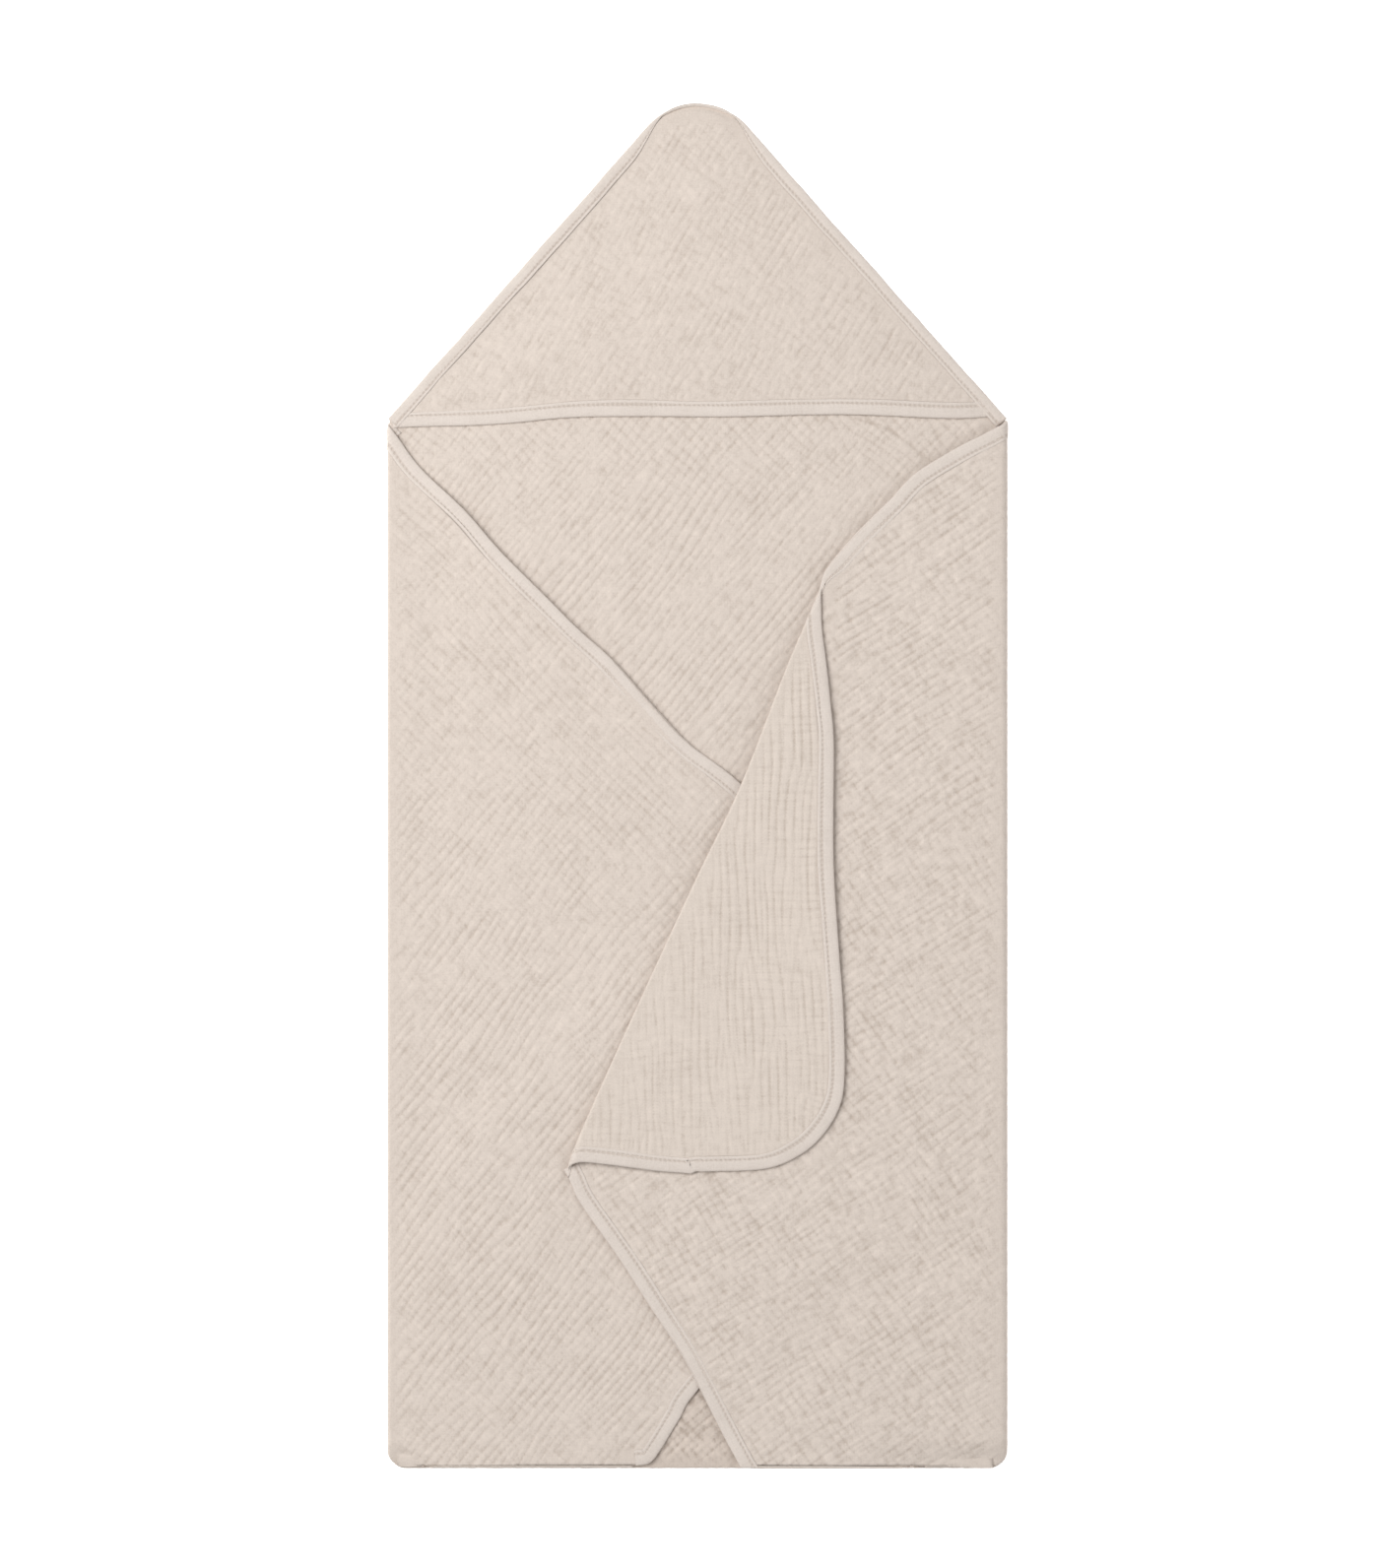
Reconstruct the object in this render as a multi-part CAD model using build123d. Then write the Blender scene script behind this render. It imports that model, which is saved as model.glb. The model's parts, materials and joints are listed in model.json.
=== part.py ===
"""Hooded baby towel of crinkled double gauze, folded flat with its hood up.

Millimetres, +Z up. The towel lies on the XY plane with the hood towards +Y. The origin is the centre of
its bounding box, on the surface that it lies on.

A square of cloth is turned to stand on one corner. The hood is sewn over the top corner. The bottom corner
is tucked up inside, the left and the right corner are folded in over it as flaps, and the tip of the right
flap is turned back. Each layer lies flat on a level of its own, and a half tube joins two layers at a fold.
One binding strip runs round the whole square, and a second one edges the mouth of the hood.
"""

import os
from math import hypot, pi, radians, sin, tan

from build123d import *

# Driving dimensions
FOLDED_WIDTH = 363.0
FOLDED_LENGTH = 800.0
HOOD_SLOPE = radians(48.5)
APEX_RADIUS = 39.0
CORNER_RADIUS = 58.0
CLOTH = 1.0
BINDING_WIDTH = 9.2
BINDING_PLY = 0.25
BINDING_EDGE = 0.5
THREAD_WIDTH = 0.4
THREAD_DEPTH = 0.15
THREAD_INSET = BINDING_WIDTH - 2.5
LAYER_GAP = 0.3
MOVING_GAP = 0.5
TURNED_GAP = 0.4
HOOD_RISE = 5.7
HOOD_CROWN = 95.0
HOOD_CROWN_TOP_Y = 375.0
TRIM_RADIUS = 8.0
SWING_CLEARANCE = 0.55

# Levels: the underside of each layer
PITCH = CLOTH + LAYER_GAP
BACK_Z = 0.0
TUCK_Z = PITCH
HOOD_Z = PITCH
LEFT_WING_Z = 2 * PITCH
LEFT_FLAP_Z = 3 * PITCH
RIGHT_WING_Z = LEFT_FLAP_Z + CLOTH + MOVING_GAP
RIGHT_FLAP_Z = RIGHT_WING_Z + PITCH
TURNED_Z = RIGHT_FLAP_Z + CLOTH + TURNED_GAP

# Folds: two layers turn about an axis half-way between them
HALF_WIDTH = FOLDED_WIDTH / 2
HALF_LENGTH = FOLDED_LENGTH / 2
SMALL_FOLD = CLOTH + LAYER_GAP / 2
LEFT_FOLD_Z = (LEFT_FLAP_Z + CLOTH) / 2
LEFT_FOLD_X = LEFT_FOLD_Z - HALF_WIDTH
RIGHT_FOLD_Z = (RIGHT_FLAP_Z + CLOTH) / 2
RIGHT_FOLD_X = HALF_WIDTH - RIGHT_FOLD_Z
RIGHT_START_X = RIGHT_FOLD_X - RIGHT_FOLD_Z - SWING_CLEARANCE
TURNED_FOLD = CLOTH + TURNED_GAP / 2
TURNED_FOLD_Z = RIGHT_FLAP_Z + TURNED_FOLD
TURNED_START = TURNED_FOLD + TURNED_GAP

# Places along the length
APEX_Y = HALF_LENGTH - APEX_RADIUS + APEX_RADIUS / sin(pi / 2 - HOOD_SLOPE)
SHOULDER_Y = APEX_Y - HALF_WIDTH * tan(HOOD_SLOPE)
FOLD_TOP_Y = SHOULDER_Y - 2.0
FOLD_BOTTOM_Y = TRIM_RADIUS + 2.0 - HALF_LENGTH
BOTTOM_Y = SMALL_FOLD - HALF_LENGTH
LEFT_HEM_Y = SMALL_FOLD - 396.0
RIGHT_HEM_Y = SMALL_FOLD - 399.0
WING_TOP_Y = -270.0

# The line along which the tip of the right flap turns back, and the fold's axis just inside it
FOLD_LINE_TOP = Vector(73.0, 116.0)
FOLD_LINE_BOTTOM = Vector(-77.5, -228.0)
FOLD_LINE_UP = (FOLD_LINE_TOP - FOLD_LINE_BOTTOM).normalized()
FOLD_LINE_IN = Vector(FOLD_LINE_UP.Y, -FOLD_LINE_UP.X)


def on_fold_line(end, inset):
    """A point of the turned-back fold, moved into the flap by inset."""
    place = end + FOLD_LINE_IN * inset
    return (place.X, place.Y)


# Bound edges, each walked with its cloth on the left: the points, then the radius at each inner point
HOOD_SIDES = ([(HALF_WIDTH, SHOULDER_Y), (0, APEX_Y), (-HALF_WIDTH, SHOULDER_Y)], [APEX_RADIUS])
TUCK_EDGE = ([(RIGHT_FOLD_X, WING_TOP_Y), (0, -90), (LEFT_FOLD_X, WING_TOP_Y)], [CORNER_RADIUS])
LEFT_WING_EDGE = ([(-30, LEFT_HEM_Y), (LEFT_FOLD_X, WING_TOP_Y)], [])
RIGHT_WING_EDGE = ([(RIGHT_START_X, WING_TOP_Y), (28, RIGHT_HEM_Y)], [])
LEFT_FLAP_EDGE = (
    [(-27, LEFT_HEM_Y), (0, -354), (190, -164), (-100, 123), (LEFT_FOLD_X, 207)],
    [100, CORNER_RADIUS, 200],
)
RIGHT_UPPER_EDGE = (
    [
        (RIGHT_START_X, 206.5),
        (150, 196),
        (110, 164.6),
        (85, 138),
        on_fold_line(FOLD_LINE_TOP, TURNED_FOLD),
    ],
    [60, 60, 60],
)
RIGHT_LOWER_EDGE = (
    [on_fold_line(FOLD_LINE_BOTTOM, TURNED_FOLD), (-10, -332), (25, RIGHT_HEM_Y)],
    [200],
)
TURNED_EDGE = (
    [
        on_fold_line(FOLD_LINE_BOTTOM + FOLD_LINE_UP * 6, TURNED_FOLD + TURNED_START),
        (-3, -226),
        (86.5, -227.5),
        (85.5, -133),
        (79.5, -32),
        (79.5, 24),
        on_fold_line(FOLD_LINE_TOP, TURNED_FOLD + TURNED_START),
    ],
    [100, CORNER_RADIUS, 300, 300, 300],
)


def turn_at(points, i):
    """+1 where the walk turns left at point i, or -1 where it turns right."""
    (ax, ay), (bx, by), (cx, cy) = points[i - 1], points[i], points[i + 1]
    left = (bx - ax) * (cy - by) - (by - ay) * (cx - bx)
    return 1 if left > 0 else -1


def inset_points(points, inset):
    """The walk moved to its left by inset, mitred at its corners."""
    lefts = []
    for (ax, ay), (bx, by) in zip(points, points[1:]):
        run = hypot(bx - ax, by - ay)
        lefts.append(((ay - by) / run, (bx - ax) / run))
    before = [lefts[0]] + lefts
    after = lefts + [lefts[-1]]
    moved = []
    for (x, y), (ux, uy), (vx, vy) in zip(points, before, after):
        reach = inset / (1 + ux * vx + uy * vy)
        moved.append((x + (ux + vx) * reach, y + (uy + vy) * reach))
    return moved


def inset_edge(edge, inset):
    """A line parallel to a bound edge, with its corners about the same centres."""
    points, radii = edge
    moved = inset_points(points, inset)
    if not radii:
        return Line(*moved)
    return FilletPolyline(
        *moved, radius=[r - turn_at(points, i + 1) * inset for i, r in enumerate(radii)]
    )


def band(edge, near, far):
    """The flat strip along a bound edge, from near to far inside it."""
    outer = inset_edge(edge, near)
    inner = inset_edge(edge, far)
    ends = [Line(outer @ 0, inner @ 0), Line(outer @ 1, inner @ 1)]
    return make_face(outer.edges() + inner.edges() + ends)


def panel_face(edge, others, other_radii=None):
    """A panel's outline: one bound edge, with its other corners after it."""
    points, radii = edge
    sharp_ends = [0, *radii, 0]
    rest = other_radii or [0] * len(others)
    return make_face(
        FilletPolyline(*points, *others, radius=[*sharp_ends, *rest], close=True)
    )


def slab(face, bottom, height):
    """A flat face raised to the level bottom and given its thickness."""
    return extrude(Pos(0, 0, bottom) * face, height)


def u_binding(edge, outline, bottom, height):
    """A folded strip that wraps an edge: a ply above, a ply below and the web outside."""
    whole = slab(band(edge, 0, BINDING_WIDTH) & outline, bottom, height)
    inside = slab(
        band(edge, BINDING_EDGE, BINDING_WIDTH + 1), bottom + BINDING_PLY, height - 2 * BINDING_PLY
    )
    return whole - inside


def seam_threads(edge, outline, bottom, height):
    """The seam's upper and lower thread, let into the two plies of the binding."""
    line = band(edge, THREAD_INSET - THREAD_WIDTH / 2, THREAD_INSET + THREAD_WIDTH / 2) & outline
    upper = slab(line, bottom + height - THREAD_DEPTH, THREAD_DEPTH)
    lower = slab(line, bottom, THREAD_DEPTH)
    return upper + lower


def bound_panel(edges, outline, bottom):
    """A panel of cloth with its bound edges. Returns the cloth, its bindings and their threads."""
    cloth = slab(outline, bottom, CLOTH)
    bindings = [u_binding(edge, outline, bottom, CLOTH) for edge in edges]
    threads = [seam_threads(edge, outline, bottom, CLOTH) for edge in edges]
    for binding in bindings:
        cloth -= binding
    bindings = [binding - thread for binding, thread in zip(bindings, threads)]
    return cloth, bindings, threads


def half_tube(start, direction, outward, inner, outer, length):
    """A fold: half of a tube along direction, on the outward side of its axis."""
    section = Circle(outer) - Circle(inner)
    section &= Pos(outer / 2, 0) * Rectangle(outer, 2 * outer)
    place = Plane(origin=start, x_dir=outward, z_dir=direction)
    return extrude(place * section, length)


def hood_shell(bottom, height):
    """The hood's cloth between two heights: a flat rim on the seams, then three facets up to the crown."""
    outline = panel_face(HOOD_SIDES, [])
    rim = BINDING_WIDTH / sin(HOOD_SLOPE) + 0.5
    corners = [
        (-HALF_WIDTH + rim, SHOULDER_Y, 0),
        (-HOOD_CROWN, SHOULDER_Y, HOOD_RISE),
        (HOOD_CROWN, SHOULDER_Y, HOOD_RISE),
        (HALF_WIDTH - rim, SHOULDER_Y, 0),
    ]
    top = (0, HOOD_CROWN_TOP_Y, 0)
    inside = make_face(Polyline(corners[0][:2], corners[3][:2], top[:2], close=True))
    shell = slab(outline - inside, bottom, height)
    for left, right in zip(corners, corners[1:]):
        facet = Face(Wire.make_polygon([left, right, top], close=True))
        shell += extrude(Pos(0, 0, bottom) * facet, amount=height, dir=(0, 0, 1))
    return shell


def mouth_strip(near, far):
    """A tall block over the hood's front edge, from near to far inside it, clear of the side seams."""
    width = FOLDED_WIDTH - 2 * (BINDING_WIDTH / sin(HOOD_SLOPE) + 0.5)
    block = Box(width, far - near, 2 * HALF_LENGTH, align=(Align.CENTER, Align.MIN, Align.CENTER))
    return Pos(0, SHOULDER_Y + near, 0) * block


def hood_and_back():
    """The back panel and the hood, joined along the two sides of the hood by one binding."""
    back_outline = panel_face(
        HOOD_SIDES,
        [
            (-HALF_WIDTH, FOLD_TOP_Y),
            (LEFT_FOLD_X, FOLD_TOP_Y),
            (LEFT_FOLD_X, BOTTOM_Y),
            (RIGHT_FOLD_X, BOTTOM_Y),
            (RIGHT_FOLD_X, FOLD_TOP_Y),
            (HALF_WIDTH, FOLD_TOP_Y),
        ],
        [0, 0, TRIM_RADIUS, TRIM_RADIUS, 0, 0],
    )
    seam_height = HOOD_Z + CLOTH - BACK_Z
    hood_outline = panel_face(HOOD_SIDES, [])
    side_binding = u_binding(HOOD_SIDES, hood_outline, BACK_Z, seam_height)
    side_thread = seam_threads(HOOD_SIDES, hood_outline, BACK_Z, seam_height)
    mouth = hood_shell(HOOD_Z, CLOTH) & mouth_strip(0, BINDING_WIDTH)
    mouth -= hood_shell(HOOD_Z + BINDING_PLY, CLOTH - 2 * BINDING_PLY) & mouth_strip(
        BINDING_EDGE, BINDING_WIDTH + 1
    )
    seam = mouth_strip(THREAD_INSET - THREAD_WIDTH / 2, THREAD_INSET + THREAD_WIDTH / 2)
    mouth_thread = hood_shell(HOOD_Z + CLOTH - THREAD_DEPTH, THREAD_DEPTH) & seam
    mouth_thread += hood_shell(HOOD_Z, THREAD_DEPTH) & seam
    mouth -= side_binding
    mouth_thread -= side_binding
    return {
        "back_panel": slab(back_outline, BACK_Z, CLOTH) - side_binding,
        "hood_panel": hood_shell(HOOD_Z, CLOTH) - side_binding - mouth - mouth_thread,
        "hood_side_binding": side_binding - side_thread,
        "hood_side_thread": side_thread,
        "hood_mouth_binding": mouth - mouth_thread,
        "hood_mouth_thread": mouth_thread,
    }


def bottom_tuck():
    """The bottom corner, tucked up over the back panel."""
    outline = panel_face(
        TUCK_EDGE,
        [(LEFT_FOLD_X, BOTTOM_Y), (RIGHT_FOLD_X, BOTTOM_Y)],
        [TRIM_RADIUS, TRIM_RADIUS],
    )
    cloth, bindings, threads = bound_panel([TUCK_EDGE], outline, TUCK_Z)
    fold_start = (TRIM_RADIUS + 2 - HALF_WIDTH, BOTTOM_Y, SMALL_FOLD)
    fold_length = FOLDED_WIDTH - 2 * (TRIM_RADIUS + 2)
    return {
        "bottom_tuck": cloth,
        "bottom_tuck_binding": bindings[0],
        "bottom_tuck_thread": threads[0],
        "bottom_fold": half_tube(
            fold_start, (1, 0, 0), (0, -1, 0), LAYER_GAP / 2, SMALL_FOLD, fold_length
        ),
    }


def left_side():
    """The left flap with the fold that joins it to the back, and the wing of the tuck inside it."""
    flap_outline = panel_face(LEFT_FLAP_EDGE, [(LEFT_FOLD_X, LEFT_HEM_Y)], [TRIM_RADIUS])
    flap, flap_bindings, flap_threads = bound_panel([LEFT_FLAP_EDGE], flap_outline, LEFT_FLAP_Z)
    wing_outline = panel_face(LEFT_WING_EDGE, [(LEFT_FOLD_X, LEFT_HEM_Y)], [TRIM_RADIUS])
    wing, wing_bindings, wing_threads = bound_panel([LEFT_WING_EDGE], wing_outline, LEFT_WING_Z)
    side_start = (LEFT_FOLD_X, FOLD_BOTTOM_Y, LEFT_FOLD_Z)
    hem_start = (LEFT_FOLD_X + TRIM_RADIUS, LEFT_HEM_Y, LEFT_WING_Z + SMALL_FOLD)
    hem_length = -30 - hem_start[0]
    wing_side_fold = half_tube(
        side_start, (0, 1, 0), (-1, 0, 0), LAYER_GAP / 2, SMALL_FOLD, WING_TOP_Y - FOLD_BOTTOM_Y
    )
    wing_hem_fold = half_tube(
        hem_start, (1, 0, 0), (0, -1, 0), LAYER_GAP / 2, SMALL_FOLD, hem_length
    )
    return {
        "left_flap": flap,
        "left_flap_binding": flap_bindings[0],
        "left_flap_thread": flap_threads[0],
        "left_fold": half_tube(
            side_start,
            (0, 1, 0),
            (-1, 0, 0),
            LEFT_FOLD_Z - CLOTH,
            LEFT_FOLD_Z,
            FOLD_TOP_Y - FOLD_BOTTOM_Y,
        ),
        "left_wing": wing,
        "left_wing_binding": wing_bindings[0],
        "left_wing_thread": wing_threads[0],
        "left_wing_side_fold": wing_side_fold,
        "left_wing_hem_fold": wing_hem_fold,
    }


def right_side():
    """The right flap, which swings open about its fold, and the wing of the tuck that goes with it."""
    flap_outline = panel_face(
        (
            RIGHT_UPPER_EDGE[0] + RIGHT_LOWER_EDGE[0],
            RIGHT_UPPER_EDGE[1] + [0, 0] + RIGHT_LOWER_EDGE[1],
        ),
        [(RIGHT_START_X, RIGHT_HEM_Y)],
        [TRIM_RADIUS],
    )
    flap, bindings, threads = bound_panel(
        [RIGHT_UPPER_EDGE, RIGHT_LOWER_EDGE], flap_outline, RIGHT_FLAP_Z
    )
    wing_outline = panel_face(RIGHT_WING_EDGE, [(RIGHT_START_X, RIGHT_HEM_Y)], [TRIM_RADIUS])
    wing, wing_bindings, wing_threads = bound_panel([RIGHT_WING_EDGE], wing_outline, RIGHT_WING_Z)
    side_start = (RIGHT_FOLD_X, FOLD_BOTTOM_Y, RIGHT_FOLD_Z)
    wing_radius = RIGHT_FOLD_Z - PITCH
    hem_start = (28, RIGHT_HEM_Y, RIGHT_WING_Z + SMALL_FOLD)
    hem_length = RIGHT_START_X - TRIM_RADIUS - hem_start[0]
    return {
        "right_flap": flap,
        "right_flap_upper_binding": bindings[0],
        "right_flap_lower_binding": bindings[1],
        "right_flap_upper_thread": threads[0],
        "right_flap_lower_thread": threads[1],
        "right_fold": half_tube(
            side_start,
            (0, 1, 0),
            (1, 0, 0),
            RIGHT_FOLD_Z - CLOTH,
            RIGHT_FOLD_Z,
            FOLD_TOP_Y - FOLD_BOTTOM_Y,
        ),
        "right_wing": wing,
        "right_wing_binding": wing_bindings[0],
        "right_wing_thread": wing_threads[0],
        "right_wing_side_fold": half_tube(
            side_start,
            (0, 1, 0),
            (1, 0, 0),
            wing_radius - CLOTH,
            wing_radius,
            WING_TOP_Y - FOLD_BOTTOM_Y,
        ),
        "right_wing_hem_fold": half_tube(
            hem_start, (1, 0, 0), (0, -1, 0), LAYER_GAP / 2, SMALL_FOLD, hem_length
        ),
    }


def turned_corner():
    """The tip of the right flap, turned back over it about the slanting fold line."""
    outline = panel_face(TURNED_EDGE, [])
    cloth, bindings, threads = bound_panel([TURNED_EDGE], outline, TURNED_Z)
    axis_bottom = FOLD_LINE_BOTTOM + FOLD_LINE_IN * TURNED_FOLD + Vector(0, 0, TURNED_FOLD_Z)
    fold = half_tube(
        axis_bottom,
        FOLD_LINE_UP,
        -FOLD_LINE_IN,
        TURNED_GAP / 2,
        TURNED_FOLD,
        (FOLD_LINE_TOP - FOLD_LINE_BOTTOM).length,
    )
    return {
        "corner_fold": fold,
        "turned_corner": cloth,
        "turned_corner_binding": bindings[0],
        "turned_corner_thread": threads[0],
    }


def main():
    os.makedirs("parts", exist_ok=True)
    nodes = {
        **hood_and_back(),
        **bottom_tuck(),
        **left_side(),
        **right_side(),
        **turned_corner(),
    }
    for name, shape in nodes.items():
        export_step(shape, f"parts/{name}.step")
    axis = FOLD_LINE_BOTTOM + FOLD_LINE_IN * TURNED_FOLD
    print("flap hinge at x, z:", RIGHT_FOLD_X, RIGHT_FOLD_Z)
    print("corner hinge at x, y, z:", axis.X, axis.Y, TURNED_FOLD_Z)
    print("corner hinge along:", FOLD_LINE_UP.X, FOLD_LINE_UP.Y)


main()
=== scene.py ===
"""The looks of the hooded baby towel: crinkled double gauze with sewn binding, laid on a white floor.

Lengths are millimetres until a mesh is made, because the cloth is about one millimetre thick.
"""
import json
import math

import bpy
import numpy as np
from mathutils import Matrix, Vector
from mathutils.geometry import delaunay_2d_cdt


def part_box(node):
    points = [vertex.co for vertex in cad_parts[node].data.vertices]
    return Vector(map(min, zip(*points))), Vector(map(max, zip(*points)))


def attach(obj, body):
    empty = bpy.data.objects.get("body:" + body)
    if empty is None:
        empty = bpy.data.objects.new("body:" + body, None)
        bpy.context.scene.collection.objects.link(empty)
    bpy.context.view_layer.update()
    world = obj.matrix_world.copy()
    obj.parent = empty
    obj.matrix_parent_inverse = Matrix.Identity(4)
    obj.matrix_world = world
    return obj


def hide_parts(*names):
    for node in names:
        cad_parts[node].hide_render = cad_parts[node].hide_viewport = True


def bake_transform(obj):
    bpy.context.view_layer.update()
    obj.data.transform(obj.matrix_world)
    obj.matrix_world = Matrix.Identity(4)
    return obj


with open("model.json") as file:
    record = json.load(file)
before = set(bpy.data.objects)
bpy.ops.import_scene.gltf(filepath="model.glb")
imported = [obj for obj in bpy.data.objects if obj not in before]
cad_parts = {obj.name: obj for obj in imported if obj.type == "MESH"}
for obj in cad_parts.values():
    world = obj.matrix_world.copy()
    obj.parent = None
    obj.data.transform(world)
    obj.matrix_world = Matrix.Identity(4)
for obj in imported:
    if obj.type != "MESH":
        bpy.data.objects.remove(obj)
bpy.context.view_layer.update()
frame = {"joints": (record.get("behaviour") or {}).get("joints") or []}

MM = 0.001

# The cloth, the rise from one layer to the next, and the middle of the lowest layer
CLOTH = 0.8
HALF_CLOTH = CLOTH / 2
PITCH = 1.4
BACK_LEVEL = 0.7

# The sewn binding
BINDING_WIDTH = 9.2
STITCH_PITCH = 2.8
STITCH_LENGTH = 2.1
STITCH_RADIUS = 0.2
SEAM_INSET = BINDING_WIDTH - 2.4


def node_box(node):
    """A CAD node's lowest and highest corner, in millimetres."""
    low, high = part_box(node)
    return np.array(low) / MM, np.array(high) / MM


def joint_value(name, key):
    """One value of a joint of the frame."""
    return np.array(next(joint[key] for joint in frame["joints"] if joint["name"] == name))


SIDE = node_box("right_fold")[1][0]
TOP = node_box("back_panel")[1][1]
BOTTOM = node_box("bottom_fold")[0][1]
FLAP_LOW, FLAP_HIGH = node_box("right_flap")
FLAP_LEVEL = (FLAP_LOW[2] + FLAP_HIGH[2]) / 2
TURNED_AXIS = joint_value("corner_turn", "pos_m") / MM
TURNED_ALONG = -joint_value("corner_turn", "axis")[:2]

# The hood's sides, its rounded tip, and the towel's rounded bottom corners
HOOD_SLOPE = math.radians(48.5)
APEX_RADIUS = 39.0
SHOULDER = (181.2, 215.0)
CORNER_TRIM = 10.0


# ---------------------------------------------------------------- curves in the plane

def ramp(value, low, high):
    """0 below low and 1 above high, with soft ends. Low may be the larger."""
    t = np.clip((value - low) / (high - low), 0, 1)
    return t * t * (3 - 2 * t)


def resample(points, step):
    """An open line walked again in even steps."""
    points = np.asarray(points, float)
    run = np.r_[0, np.cumsum(np.hypot(*np.diff(points, axis=0).T))]
    count = max(2, int(round(run[-1] / step)) + 1)
    at = np.linspace(0, run[-1], count)
    return np.c_[np.interp(at, run, points[:, 0]), np.interp(at, run, points[:, 1])]


def smooth_line(points, step=1.0):
    """A curve through the points (Catmull-Rom), in even steps."""
    p = np.asarray(points, float)
    p = np.vstack([2 * p[0] - p[1], p, 2 * p[-1] - p[-2]])
    t = np.linspace(0, 1, 16, endpoint=False)[:, None]
    spans = []
    for a, b, c, d in zip(p, p[1:], p[2:], p[3:]):
        cubic = (3 * (b - c) + d - a) * t**3 + (2 * a - 5 * b + 4 * c - d) * t**2
        spans.append((cubic + (c - a) * t + 2 * b) / 2)
    return resample(np.vstack([*spans, p[-2:-1]]), step)


def left_normals(line):
    """Unit normals to the left of the walk."""
    tangent = np.gradient(line, axis=0)
    tangent /= np.maximum(np.hypot(*tangent.T), 1e-9)[:, None]
    return np.c_[-tangent[:, 1], tangent[:, 0]]


def shifted(line, distance):
    """The line moved to its left."""
    return line + left_normals(line) * np.reshape(distance, (-1, 1))


def wavy(line, size, seed):
    """The line with the small sideways waves of a sewn edge, still where it starts and ends."""
    rng = np.random.default_rng(seed)
    run = np.r_[0, np.cumsum(np.hypot(*np.diff(line, axis=0).T))]
    wave = np.zeros(len(line))
    for length in (95, 52, 31, 17):
        wave += np.sin(run * 2 * math.pi / length + rng.uniform(0, 6.3)) * (length / 95) ** 0.7
    ends = ramp(run, 0, 25) * ramp(run[-1] - run, 0, 25)
    return shifted(line, wave * size * ends / 2)


def distance_inside(points, outline):
    """How far each point is inside a closed outline, or minus how far outside."""
    nearest = np.full(len(points), 1e9)
    inside = np.zeros(len(points), bool)
    for a, b in zip(outline, np.roll(outline, -1, axis=0)):
        d = b - a
        t = np.clip(((points - a) @ d) / max(d @ d, 1e-12), 0, 1)
        nearest = np.minimum(nearest, np.hypot(*(points - a - t[:, None] * d).T))
        if a[1] != b[1]:
            crosses = (a[1] > points[:, 1]) != (b[1] > points[:, 1])
            inside ^= crosses & (points[:, 0] < a[0] + (points[:, 1] - a[1]) * d[0] / d[1])
    return np.where(inside, nearest, -nearest)


def nearest_on(points, line):
    """Distance to a line and the run along it at its nearest point."""
    best = np.full(len(points), 1e9)
    run = np.zeros(len(points))
    start = 0.0
    for a, b in zip(line, line[1:]):
        d = b - a
        length = np.hypot(*d)
        t = np.clip(((points - a) @ d) / max(length**2, 1e-12), 0, 1)
        away = np.hypot(*(points - a - t[:, None] * d).T)
        closer = away < best
        best[closer] = away[closer]
        run[closer] = start + t[closer] * length
        start += length
    return best, run


# ---------------------------------------------------------------- crinkle of the gauze

# A repeating tile of random fields: its grid points and its size
GRID = 1280
TILE = 640.0


def noise_waves(seed, weight):
    """A repeating random field of complex waves, with the given weight on each wave."""
    f = np.fft.fftfreq(GRID, TILE / GRID)
    along, across = np.meshgrid(f, f)
    rng = np.random.default_rng(seed)
    return np.fft.ifft2(np.fft.fft2(rng.normal(size=(GRID, GRID))) * weight(along, across))


def pucker_field(seed, pitch, length):
    """Puffed ridges along the first axis, with narrow valleys about 1 deep between them."""
    middle = 1 / (2 * pitch)

    def weight(along, across):
        return np.exp(-(((across - middle) / (0.36 * middle)) ** 2) - (along * length) ** 2)

    wave = noise_waves(seed, weight)
    size = np.abs(wave)
    swing = np.abs(wave.real) / size
    depth = np.clip(0.25 + 0.75 * size / size.mean(), 0, 1.3)
    puff = -depth * np.exp(-((swing / 0.36) ** 2)) - 0.2 * (1 - swing)
    return puff - puff.mean()


def soft_field(seed, size):
    """Smooth rises and hollows of unit spread."""
    field = noise_waves(seed, lambda along, across: np.exp(-(along**2 + across**2) * size**2)).real
    return field / field.std()


# Ridges of three pitches, and soft fields of four sizes
LONG = pucker_field(3, 4.9, 75)
SHORT = pucker_field(5, 4.8, 42)
FINE = pucker_field(8, 2.9, 30)
PATCH = soft_field(13, 80)
PITS = soft_field(31, 5.0)
SWAY = soft_field(17, 95)
SWELL = soft_field(23, 130)


def sample(field, points):
    """The field at points, turned into grid steps, with the tile repeated."""
    at = np.asarray(points) * (GRID / TILE)
    low = np.floor(at).astype(int)
    fx, fy = (at - low).T
    x0, y0 = low.T % GRID
    x1, y1 = (x0 + 1) % GRID, (y0 + 1) % GRID
    lower = field[y0, x0] * (1 - fx) + field[y0, x1] * fx
    upper = field[y1, x0] * (1 - fx) + field[y1, x1] * fx
    return lower * (1 - fy) + upper * fy


def lines_at(field, points, degrees, shift=0.0):
    """Puckers that run at an angle from +X, swaying a little."""
    a = math.radians(degrees)
    along = np.array([math.cos(a), math.sin(a)])
    across = np.array([-along[1], along[0]])
    sway = 1.3 * sample(SWAY, points + shift)
    return sample(field, np.c_[points @ along + shift, points @ across + sway + shift])


# A crease pressed into the back panel beside the hood
PRESSED_LINE = smooth_line([(93, 215), (109, 210), (122, 202), (137, 190)], 3.0)


# Each region's ridges run at the angles that its cloth lies at, and a shift picks another part of the tile

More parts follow.
